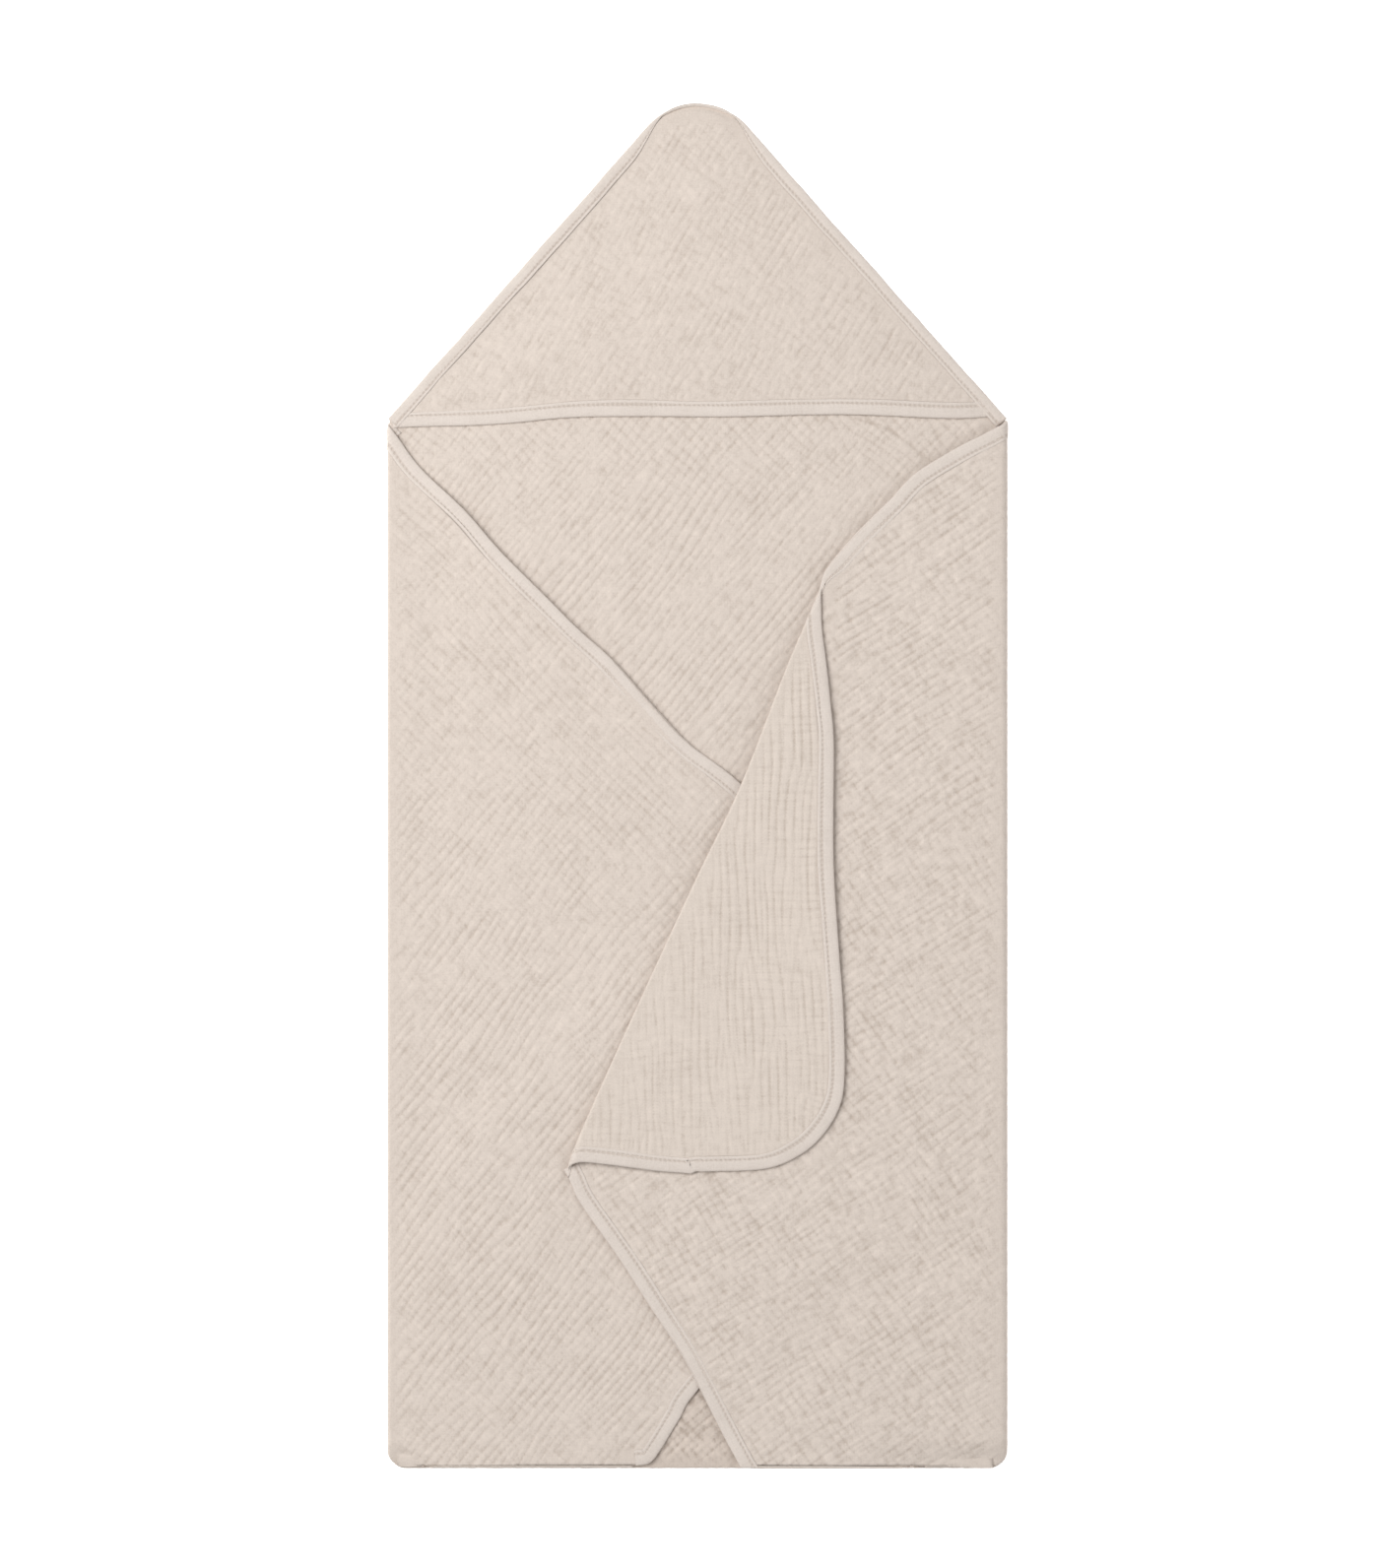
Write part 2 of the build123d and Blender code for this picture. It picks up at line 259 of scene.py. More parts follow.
def back_crinkle(p):
    """Ridges up to the right, and the pressed crease."""
    near_hood = ramp(p[:, 1], 150, 205)
    main = lines_at(LONG, p, 50) * (0.8 - 0.3 * near_hood)
    cross = lines_at(SHORT, p, -42, 40) * (0.25 + 0.35 * near_hood)
    cross = cross - 0.9 * np.exp(-((nearest_on(p, PRESSED_LINE)[0] / 1.2) ** 2))
    return main + cross + 0.42 * lines_at(FINE, p, 52, 90) + 0.2 * sample(PITS, p)


def left_crinkle(p):
    """Ridges down to the right in the upper part, and up to the right below."""
    low = ramp(p[:, 1] + 0.5 * p[:, 0], 20, -160)
    down = lines_at(LONG, p, -46, 160) * (0.55 - 0.3 * low)
    up = lines_at(LONG, p, 53, 210) * (0.32 + 0.5 * low)
    fine = 0.42 * lines_at(FINE, p, -44, 30) + 0.25 * lines_at(SHORT, p, 48, 77)
    return down + up + fine + 0.2 * sample(PITS, p)


def right_crinkle(p):
    """Shallow and steep ridges that cross."""
    high = ramp(p[:, 1], -90, 60)
    shallow = lines_at(LONG, p, 33, 260) * (0.42 + 0.22 * high)
    steep = lines_at(LONG, p, -55, 310) * (0.45 - 0.15 * high)
    fine = 0.4 * lines_at(FINE, p, 36, 120) + 0.2 * lines_at(SHORT, p, -50, 17)
    return 1.3 * (shallow + steep + fine) + 0.3 * sample(PITS, p)


def turned_crinkle(p):
    """Upright ridges, stronger towards the bound edge."""
    upright = lines_at(LONG, p, 92, 350) * (0.42 + 0.2 * ramp(p[:, 0], 0, 60))
    upright = upright + 0.25 * lines_at(FINE, p, 90, 60)
    return upright + 0.16 * lines_at(SHORT, p, 2, 20) + 0.07 * sample(PITS, p)


def hood_crinkle(p):
    """Fine ridges up to the right, crossed by weaker ones."""
    main = lines_at(LONG, p, 57, 400) * 0.4 + lines_at(SHORT, p, 62, 15) * 0.3
    fine = 0.3 * lines_at(SHORT, p, -36, 33) + 0.35 * lines_at(FINE, p, 55, 48)
    return main + fine + 0.2 * sample(PITS, p)


def tuck_crinkle(p):
    """Strong crossing ridges on the folded-up corner."""
    main = lines_at(LONG, p, -48, 25) * 0.9 + lines_at(SHORT, p, 47, 70) * 0.8
    return main + 0.6 * lines_at(FINE, p, 44, 60) + 0.35 * sample(PITS, p)


# The depth of a valley, and how much of it the hidden wing has
CRINKLE_SIZE = 0.34
WING_CRINKLE = 0.5


# ---------------------------------------------------------------- folds and layers

class Fold:
    """A rounded edge where a layer turns over onto the one below it.

    The fold runs along one direction of the plane and its cloth lies inward of it. edge(s) is how far inward
    the middle of the cloth reaches at its outermost, and foot(s) and top(s) are the heights that it joins.
    """

    def __init__(self, start, along, inward, edge, foot, top):
        self.start = np.array(start, float)
        self.along = np.array(along, float)
        self.inward = np.array(inward, float)
        self.edge, self.foot, self.top = edge, foot, top

    def split(self, points):
        """How far along the fold and how far inward each point is."""
        return (points - self.start) @ self.along, (points - self.start) @ self.inward

    def shape(self, s):
        """Radius and inward place of the fold's axis."""
        radius = np.abs(self.top(s) - self.foot(s)) / 2
        return radius, self.edge(s) + radius

    def point(self, s, inward):
        """A point of the plane from its places along the fold and inward."""
        s, inward = np.broadcast_arrays(np.asarray(s, float), inward)
        return self.start + s[..., None] * self.along + inward[..., None] * self.inward

    def hem_line(self, s):
        """Where the layer below joins the fold."""
        return self.point(s, self.shape(s)[1])

    def free_line(self, s):
        """The far edge of the fold in the unrolled plane."""
        radius, centre = self.shape(s)
        return self.point(s, centre - math.pi * radius)


# The grid of the height maps: its step, its lowest corner and its count of points
MAP_STEP = 2.0
MAP_LOW = np.array([-204.0, -424.0])
MAP_COUNT = np.array([205, 425])


def mapped(height):
    """A height worked out once on a grid over the whole towel, and read between its points."""
    x, y = np.meshgrid(*(MAP_LOW[i] + MAP_STEP * np.arange(MAP_COUNT[i]) for i in (0, 1)))
    grid = height(np.c_[x.ravel(), y.ravel()]).reshape(x.shape)

    def read(points):
        at = np.clip((np.asarray(points) - MAP_LOW) / MAP_STEP, 0, MAP_COUNT - 1.001)
        low = at.astype(int)
        fx, fy = (at - low).T
        x0, y0 = low.T
        lower = grid[y0, x0] * (1 - fx) + grid[y0, x0 + 1] * fx
        upper = grid[y0 + 1, x0] * (1 - fx) + grid[y0 + 1, x0 + 1] * fx
        return lower * (1 - fy) + upper * fy

    return read


SLOPE_STEP = 0.6


class Layer:
    """A layer of cloth: it places points of its unrolled plane in space.

    height gives the drape, and within reach of the fold the layer rises or falls to the fold's top.
    """

    def __init__(self, height, crinkle, fold=None, reach=30.0):
        self.drape = mapped(height)
        self.crinkle = crinkle
        self.fold = fold
        self.reach = reach

    def height(self, points):
        """The layer's height, brought to its fold near the fold."""
        z = self.drape(points)
        if self.fold is None:
            return z
        s, d = self.fold.split(points)
        centre = self.fold.shape(s)[1]
        away = ramp(d - centre, 0, self.reach)
        return self.fold.top(s) * (1 - away) + z * away

    def place(self, points, lift):
        """Points of the plane in space, lifted along the cloth's normal."""
        points = np.asarray(points, float)
        lift = np.broadcast_to(np.asarray(lift, float), len(points))
        z = self.height(points)
        step_x = [SLOPE_STEP, 0]
        step_y = [0, SLOPE_STEP]
        slope_x = (self.height(points + step_x) - self.height(points - step_x)) / (2 * SLOPE_STEP)
        slope_y = (self.height(points + step_y) - self.height(points - step_y)) / (2 * SLOPE_STEP)
        normal = np.c_[-slope_x, -slope_y, np.ones(len(points))]
        normal /= np.linalg.norm(normal, axis=1)[:, None]
        flat = np.c_[points, z] + normal * lift[:, None]
        if self.fold is None:
            return flat
        s, d = self.fold.split(points)
        radius, centre = self.fold.shape(s)
        past = centre - d
        turn = np.clip(past / radius, 0, math.pi)
        rising = np.sign(self.fold.top(s) - self.fold.foot(s))
        beyond = np.maximum(past - math.pi * radius, 0)
        middle = (self.fold.top(s) + self.fold.foot(s)) / 2
        inward = centre - (radius + rising * lift) * np.sin(turn) + beyond
        rise = middle + rising * radius * np.cos(turn) + lift * np.cos(turn)
        bent = np.c_[self.fold.point(s, inward), rise]
        return np.where((past > 0)[:, None], bent, flat)


def constant(value):
    """The same value all along a fold."""
    return lambda s: np.full(np.shape(s), float(value))


def trimmed(edge, low_end):
    """An outer line that curves in round the towel's bottom corner."""

    def line(s):
        into = np.clip(low_end + CORNER_TRIM - s, 0, CORNER_TRIM)
        return edge + CORNER_TRIM - np.sqrt(CORNER_TRIM**2 - into**2)

    return line


# ---------------------------------------------------------------- the towel's lines, as it is folded

def hood_line():
    """From the left shoulder over the rounded tip to the right shoulder."""
    angles = np.linspace(math.pi / 2 + HOOD_SLOPE, math.pi / 2 - HOOD_SLOPE, 40)
    arc = np.c_[np.cos(angles), np.sin(angles)] * APEX_RADIUS + [0, TOP - APEX_RADIUS]
    left_shoulder = (-SHOULDER[0], SHOULDER[1])
    return resample(np.vstack([left_shoulder, arc, SHOULDER]), 1.0)


HOOD_SIDES = wavy(hood_line(), 0.25, 4)
MOUTH = smooth_line(
    [(-178.2, 209.6), (-160, 210.3), (-130, 211), (-108, 212.4), (-73, 215.6), (-30, 216.2), (16, 216),
     (70, 217.2), (100, 217), (149, 215), (177.6, 216.4)]
)
LEFT_FLAP_LINE = smooth_line(
    [(-36, -398), (-28, -396.5), (-22, -389.5), (-10.5, -371), (0.4, -354), (50, -302), (105, -247),
     (140, -211), (157, -188), (160, -168), (152, -146), (118, -94), (70, -45), (26, 0.7), (-4, 24),
     (-24, 45), (-49, 73), (-70, 92), (-91, 113), (-115, 137), (-136, 161), (-162, 186), (-175, 203.5),
     (-180, 209.8), (-184, 213.5)]
)
RIGHT_UPPER_LINE = smooth_line(
    [(188, 214.5), (183, 213.4), (177, 210.6), (168, 205.8), (152.5, 198), (130, 184.5), (120, 175.5),
     (115, 169.6), (110, 164.6), (96, 151), (86, 140), (78, 130.3), (74, 124), (72.2, 118), (70.6, 112)]
)
FOLD_POINTS = np.array(
    [(71.2, 116), (52, 72), (26, -0.6), (-3, -58), (-42, -140), (-68, -197), (-75, -216), (-77.5, -228)]
)
RIGHT_LOWER_LINE = smooth_line(
    [(-78, -224.5), (-74.5, -231.5), (-68, -245), (-45, -278), (-27, -306), (-10, -332), (1.6, -353.5),
     (15, -380), (24, -396.5), (29, -405.5)]
)
TURNED_LINE = smooth_line(
    [(-81.6, -226.8), (-77, -223.4), (-72, -221), (-66, -220), (-52, -221.5), (-26, -225), (-8, -226.5),
     (-3.5, -226.9), (-1, -225.6), (7, -225.6), (40, -224), (60, -216), (73.6, -204), (83, -188), (86, -170),
     (85.5, -133.5), (83, -99), (80.3, -59), (79.5, -32), (79.8, 24), (78, 47), (75.4, 72), (73, 91),
     (72.4, 107), (72.2, 120)]
)
TUCK_LINE = smooth_line(
    [(176, -268), (90, -181), (45, -136), (22, -117), (0, -110), (-22, -117), (-45, -136), (-90, -181),
     (-176, -268)]
)

# Regions that raise the layers lying on them
OUTSIDE = np.array([(-SIDE, BOTTOM), (SIDE, BOTTOM), (SIDE, 214), (0, TOP + 20), (-SIDE, 214)])
TUCK_REGION = np.array(
    [(-181, -400), (181, -400), (181, -270), (30, -118), (0, -108), (-30, -118), (-181, -270)]
)
LEFT_REGION = np.vstack([LEFT_FLAP_LINE[::12], [(-181, 212), (-181, -396)]])
LEFT_WING_REGION = np.array([(-181, -400), (-30, -400), (-181, -266)])
RIGHT_WING_REGION = np.array([(181, -400), (28, -400), (181, -266)])


def stacked(points, *regions):
    """The height of a layer on the back panel and on the regions under it."""
    z = np.full(len(points), BACK_LEVEL + PITCH)
    for region in regions:
        z += PITCH * ramp(distance_inside(points, region), -30, -1)
    return z + swell(points)


def swell(points):
    """Soft rises of cloth that doesn't lie quite flat."""
    return 0.3 * (sample(SWELL, points) + 1) * ramp(distance_inside(points, OUTSIDE), 0, 60)


# Folds. The side folds' tops fall towards the rounded bottom corners
side_end = BOTTOM + 0.4
left_fold = Fold(
    (0, 0), (0, 1), (1, 0),
    trimmed(-SIDE + HALF_CLOTH, side_end),
    constant(BACK_LEVEL),
    lambda s: 3.2 + 1.5 * ramp(s, -255, -300) - 2.6 * ramp(s, BOTTOM + 16, BOTTOM + 2),
)
right_fold = Fold(
    (0, 0), (0, 1), (-1, 0),
    trimmed(-SIDE + HALF_CLOTH, side_end),
    constant(BACK_LEVEL),
    lambda s: FLAP_LEVEL - 4.6 * ramp(s, BOTTOM + 18, BOTTOM + 2),
)
tuck_fold = Fold(
    (0, 0), (1, 0), (0, 1),
    lambda s: BOTTOM + HALF_CLOTH + CORNER_TRIM - np.sqrt(
        CORNER_TRIM**2 - np.clip(np.abs(s) - SIDE + HALF_CLOTH + CORNER_TRIM, 0, CORNER_TRIM) ** 2
    ),
    constant(BACK_LEVEL),
    constant(BACK_LEVEL + PITCH),
)
fold_inward = np.array([TURNED_ALONG[1], -TURNED_ALONG[0]])
fold_s = (FOLD_POINTS - TURNED_AXIS[:2]) @ TURNED_ALONG
fold_d = (FOLD_POINTS - TURNED_AXIS[:2]) @ fold_inward
FOLD_BEND = smooth_line(np.c_[fold_s, fold_d][::-1])
FOLD_SWAY = 0.6
FOLD_END = fold_s.max()
turned_fold = Fold(
    TURNED_AXIS[:2], TURNED_ALONG, fold_inward,
    lambda s: np.interp(s, FOLD_BEND[:, 0], FOLD_BEND[:, 1]) * FOLD_SWAY + HALF_CLOTH,
    lambda s: FLAP_LEVEL - 1.1 * ramp(s, 70, 0) - 1.6 * ramp(s, FOLD_END - 70, FOLD_END),
    lambda s: FLAP_LEVEL + 1.6 + 1.6 * ramp(s, 80, 0) - 1.2 * ramp(s, FOLD_END - 70, FOLD_END),
)

back = Layer(lambda p: BACK_LEVEL + swell(p) * 0.8, back_crinkle)
tuck = Layer(lambda p: stacked(p), tuck_crinkle, tuck_fold, 12)


def left_drape(points):
    """The left flap on the tuck and its wing, its long bound edge standing a little off the back."""
    away = nearest_on(points, LEFT_FLAP_LINE[::8])[0]
    edge = ramp(away, 32, 0) * ramp(points[:, 1], -30, 60) * ramp(points[:, 0], -178, -140)
    return stacked(points, TUCK_REGION, LEFT_WING_REGION) + 2.0 * edge


left = Layer(left_drape, left_crinkle, left_fold)


def right_drape(points):
    """The right flap on what is under it, raised to the fold of its turned corner."""
    z = stacked(points, TUCK_REGION, LEFT_REGION, RIGHT_WING_REGION)
    z = (z + FLAP_LEVEL) / 2
    s, d = turned_fold.split(points)
    away = ramp(d - turned_fold.shape(s)[1], 0, 55)
    return turned_fold.foot(s) * (1 - away) + z * away


right = Layer(right_drape, right_crinkle, right_fold, 110)


def turned_drape(points):
    """The turned corner on the right flap, its bound edge standing a little off it."""
    x, y = points.T
    edge = 1.5 * ramp(x, 10, 80) * (1 - 0.65 * ramp(y, -20, 100))
    edge = edge * ramp(y, -225, -110) * ramp(y, 115, 20)
    nose = 1.6 * ramp(y, -185, -222) * ramp(x, 20, -60)
    return right.height(points) + PITCH + (0.4 + edge + nose)


turned = Layer(turned_drape, turned_crinkle, turned_fold, 40)


def hood_drape(points):
    """The hood, sewn down at its sides and a little slack at its mouth."""
    inside = distance_inside(points, HOOD_REGION)
    near_tip = ramp(np.abs(points[:, 0]), 27, 13) * ramp(points[:, 1], 370, 388)
    slack = ramp(inside, 6, 75) * (0.3 + 0.7 * ramp(points[:, 1], 380, 215))
    rolled = near_tip * (0.6 - 2.2 * ramp(inside, 5, 0))
    near_side = ramp(nearest_on(points, HOOD_SIDES[::6])[0], 17, 8)
    return BACK_LEVEL + PITCH + 2.6 * slack + rolled - 0.4 * near_side + 0.6 * swell(points)


HOOD_REGION = np.vstack([HOOD_SIDES[::6], [(SIDE, 205), (-SIDE, 205)]])
hood = Layer(hood_drape, hood_crinkle)
side_seam = Layer(lambda p: np.full(len(p), BACK_LEVEL + PITCH / 2), back_crinkle)


# ---------------------------------------------------------------- mesh making

def face_area(outline):
    """The area inside an outline, and below zero where it runs clockwise."""
    x, y = outline.T
    return 0.5 * float(np.sum(x * np.roll(y, -1) - np.roll(x, -1) * y))


def outline_of(*lines):
    """One closed outline from lines walked in turn, evenly stepped and anticlockwise."""
    ring = np.vstack(lines)
    ring = resample(np.vstack([ring, ring[:1]]), 1.5)[:-1]
    return ring if face_area(ring) > 0 else ring[::-1]


def relief_of(points, layer, seams):
    """The cloth's crinkle, calmed in the bindings and puckered along them."""
    relief = layer.crinkle(points) * CRINKLE_SIZE
    for number, seam in enumerate(seams):
        away, run = nearest_on(points, seam[::5])
        puckers = sample(LONG, np.c_[away + 60 * number, run * 1.05])
        relief = relief * ramp(away, 6.5, 13) + puckers * 0.1 * ramp(away, 8.5, 11) * ramp(away, 26, 12)
    if layer.fold is not None:
        s, d = layer.fold.split(points)
        relief = relief * (0.3 + 0.7 * ramp(d - layer.fold.shape(s)[1], 0, 9))
    return relief


def triangles_in(outline, inner):
    """Triangles over an outline and the points inside it, and where the outline's own points went."""
    count = len(outline)
    points = [Vector(p) for p in np.vstack([outline, inner])]
    ring = [(i, (i + 1) % count) for i in range(count)]
    found, _, faces, origins, _, _ = delaunay_2d_cdt(points, ring, [], 1, 1e-6)
    rim = np.zeros(count, int)
    for new, olds in enumerate(origins):
        for old in olds:
            if old < count:
                rim[old] = new
    return np.array([tuple(v) for v in found]), np.array(faces), rim


def grid_in(outline, step, fold, where=None):
    """A triangular grid inside an outline, short of the fold's bend."""
    low, high = outline.min(0), outline.max(0)
    rows = np.arange(low[1], high[1], step * 0.866)
    x, y = np.meshgrid(np.arange(low[0], high[0], step), rows)
    x = x + (np.arange(len(rows)) % 2)[:, None] * step / 2
    p = np.c_[x.ravel(), y.ravel()]
    if where is not None:
        p = p[where(p)]
    if fold is not None:
        s, d = fold.split(p)
        p = p[d - fold.shape(s)[1] > 0.4 * step]
    return p[distance_inside(p, outline[::2]) > 0.6 * step]


def bend_rows(outline, fold, step):
    """Rows of points round the bend of a fold."""
    s, _ = fold.split(outline)
    s = np.arange(s.min(), s.max(), step)
    radius, centre = fold.shape(s)
    rows = [fold.point(s, centre - math.pi * radius * part) for part in np.linspace(0, 1, 9)[:-1]]
    p = np.vstack(rows)
    return p[distance_inside(p, outline) > 0.45]


class Mesh:
    """Vertices, faces, flat cloth places and relief, gathered for one piece."""

    def __init__(self):
        self.verts, self.faces, self.flat, self.relief = [], [], [], []
        self.count = 0

    def add(self, verts, faces, flat, relief=None):
        """Add vertices with the faces between them."""
        self.verts.append(verts)
        self.flat.append(flat)
        self.relief.append(np.zeros(len(verts)) if relief is None else relief)
        self.faces += [tuple(int(i) + self.count for i in f) for f in faces]
        self.count += len(verts)

    def piece(self, name, material):
        """The finished piece, with its cloth places as its UV map."""
        mesh = bpy.data.meshes.new(name)
        mesh.from_pydata((np.vstack(self.verts) * MM).tolist(), [], self.faces)
        mesh.polygons.foreach_set("use_smooth", np.ones(len(mesh.polygons), bool))
        uv = mesh.uv_layers.new(name="cloth")
        corner = np.zeros(len(mesh.loops), int)
        mesh.loops.foreach_get("vertex_index", corner)
        uv.data.foreach_set("uv", (np.vstack(self.flat) * MM)[corner].astype(np.float32).ravel())
        # The relief attribute carries the crinkle's heights and the bindings' painted shade, which the
        # materials paint as darker colour
        relief = mesh.attributes.new("relief", "FLOAT", "POINT")
        relief.data.foreach_set("value", np.concatenate(self.relief).astype(np.float32))
        mesh.materials.append(material)
        mesh.update()
        obj = bpy.data.objects.new(name, mesh)
        bpy.context.scene.collection.objects.link(obj)
        return obj


def add_sheet(mesh, outline, layer, seams, grids, under):
    """A closed sheet. grids gives the upper face's steps and where they hold, and under the lower's."""
    fold = layer.fold
    above = [grid_in(outline, step, fold, where) for step, where in grids]
    below = [grid_in(outline, under, fold)]
    if fold is not None:
        above.append(bend_rows(outline, fold, 1.8))
        below.append(bend_rows(outline, fold, 1.8))
    sides = []
    for inner, lift in ((above, HALF_CLOTH), (below, -HALF_CLOTH)):
        points, faces, rim = triangles_in(outline, np.vstack(inner))
        relief = relief_of(points, layer, seams)
        sides.append((points, faces, rim, relief, layer.place(points, relief + lift)))
    top, bottom = sides
    after = np.roll(top[2], -1), np.roll(bottom[2], -1)
    shift = len(top[0])
    walls = np.c_[bottom[2] + shift, after[1] + shift, after[0], top[2]]
    faces = [*top[1].tolist(), *(bottom[1][:, ::-1] + shift).tolist(), *walls.tolist()]
    mesh.add(
        np.vstack([top[4], bottom[4]]), faces, np.vstack([top[0], bottom[0]]), np.r_[top[3], bottom[3]]
    )


def add_tube(mesh, fold, low, high):
    """A plain bend of cloth between two layers."""
    layer = Layer(lambda p: fold.top(fold.split(p)[0]), None, fold)
    s = np.linspace(low, high, int((high - low) / 3) + 2)
    radius, centre = fold.shape(s)
    rows = [fold.point(s, centre - math.pi * radius * part) for part in np.linspace(0, 1, 10)]
    plan = np.stack(rows, axis=1)
    flat = plan.reshape(-1, 2)
    outer = layer.place(flat, HALF_CLOTH)
    inner = layer.place(flat, -HALF_CLOTH)
    mesh.add(np.vstack([outer, inner]), solid_faces(len(s), len(rows)), np.vstack([flat, flat]))


def solid_faces(long, wide):
    """Faces of a closed slab of two grids, the second under the first."""
    at = np.arange(long * wide).reshape(long, wide)
    quads = np.stack([at[:-1, :-1], at[1:, :-1], at[1:, 1:], at[:-1, 1:]], -1).reshape(-1, 4)
    ring = np.r_[at[:, 0], at[-1, 1:], at[-2::-1, -1], at[0, -2:0:-1]]
    after = np.roll(ring, -1)
    under = long * wide
    walls = np.c_[ring, ring + under, after + under, after]
    return [*quads.tolist(), *(quads[:, ::-1] + under).tolist(), *walls.tolist()]


# The binding's section: inward from its outer edge, and out from its middle
BINDING_FACE = np.array(
    [(9.2, 0.46), (9.05, 0.64), (8.5, 0.77), (7.8, 0.79), (7.25, 0.74), (6.8, 0.68), (6.35, 0.74),
     (5.5, 0.83), (4.1, 0.88), (2.6, 0.86), (1.3, 0.76), (0.45, 0.52), (0.06, 0.2)]
)
BINDING_INSIDE = 0.42
INNER_EDGE = 9.1
INNER_FOLD = 1.2

# The place in the section where the stitches pull it in, and how far they pull at and between the holes
STITCH_ROW = 5
STITCH_PULL = 0.22
SLACK_PULL = 0.03

# Painted shade on the binding: how much darker its colour is at its needle holes, beside them, and at its
# edges
HOLE_SHADE = -2.0
BESIDE_SHADE = -0.8
EDGE_SHADE = -1.3


def ride_on(obj, body):
    """The piece rides on one body; given two bodies, its mesh is only baked where it stands."""
    if isinstance(body, str):
        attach(obj, body)
    else:
        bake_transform(obj)


def make_binding(name, line, layer, body, core=BINDING_INSIDE, width=None, cut=None, seed=1):
    """A folded strip of cloth sewn over an edge, and the stitches along both its faces.

    core is half the thickness that it wraps. width gives the upper face's share of the full width, and cut
    keeps the strip's places short of another edge.
    """
    line = resample(line, STITCH_PITCH / 2)
    count = len(line)
    run = np.arange(count) * STITCH_PITCH / 2
    rng = np.random.default_rng(seed)
    shift = rng.uniform(0, 600)
    place_in = sample(PATCH, np.c_[run, np.full(count, shift)])
    puff = 1 + 0.13 * sample(SHORT, np.c_[np.full(count, shift), run])
    share = np.ones(count) if width is None else width(line)
    pull = np.where(np.arange(count) % 2 == 0, STITCH_PULL, SLACK_PULL)
    normals = left_normals(line)
    level = np.zeros(count)
    thinned = 0.45 + 0.55 * ramp(run, 0, 7) * ramp(run[-1] - run, 0, 7)
    inward, rise = [], []
    for number, (d, h) in enumerate(BINDING_FACE):
        loose = 0.28 * place_in * (d > 7)
        depth = pull * {0: 1.0, 1: 0.35}.get(abs(number - STITCH_ROW), 0.0)
        upper = core + (h - BINDING_INSIDE) * puff * (0.25 + 0.75 * share) - depth
        inward.append(d * share + loose)
        rise.append(core + (upper - core) * thinned)
    for d, h in BINDING_FACE[::-1]:
        inward.append(d + level)
        rise.append(-(core + (h - BINDING_INSIDE) * puff))
    inward += [level + INNER_EDGE, level + INNER_FOLD, level + INNER_FOLD, INNER_EDGE * share]
    rise += [level - core, level - core, level + core, level + core]
    inward = np.stack(inward, 1)
    rise = np.stack(rise, 1)
    waves = 0.16 * sample(SWAY, np.c_[run, np.full(count, shift + 90)])
    waves = waves * ramp(run, 0, 20) * ramp(run[-1] - run, 0, 20)
    rise = rise + waves[:, None]
    plan = line[:, None, :] + normals[:, None, :] * inward[..., None]
    wide = inward.shape[1]
    if cut is not None:
        plan = cut(plan)
    verts = layer.place(plan.reshape(-1, 2), rise.ravel())
    flat = np.c_[np.repeat(run, wide), inward.ravel() + rise.ravel()]
    # Painted shade at the binding's holes and edges, stored as its relief for the material to darken
    tone = np.zeros((count, wide))
    holes = np.where(np.arange(count) % 2 == 0, 1.0, 0.25)
    last = 2 * len(BINDING_FACE) - 1
    for column in (STITCH_ROW, last - STITCH_ROW):
        tone[:, column] = HOLE_SHADE * holes
        tone[:, column - 1] = BESIDE_SHADE * holes
        tone[:, column + 1] = BESIDE_SHADE * holes
    tone[:, [0, last]] = EDGE_SHADE
    tone[:, [1, last - 1]] = -0.25
    at = np.arange(count * wide).reshape(count, wide)
    beside = np.roll(at, -1, axis=1)
    quads = np.stack([at[:-1], beside[:-1], beside[1:], at[1:]], -1).reshape(-1, 4)
    ends = [tuple(at[0][::-1]), tuple(at[-1])]
    mesh = Mesh()
    mesh.add(verts, [*quads.tolist(), *ends], flat, tone.ravel())
    strip = mesh.piece(name + "_tape", binding_cloth)
    stitches = make_stitches(name + "_stitches", line, normals, layer, core, waves, share, cut)
    for obj in (strip, stitches):
        ride_on(obj, body)
    return strip, stitches


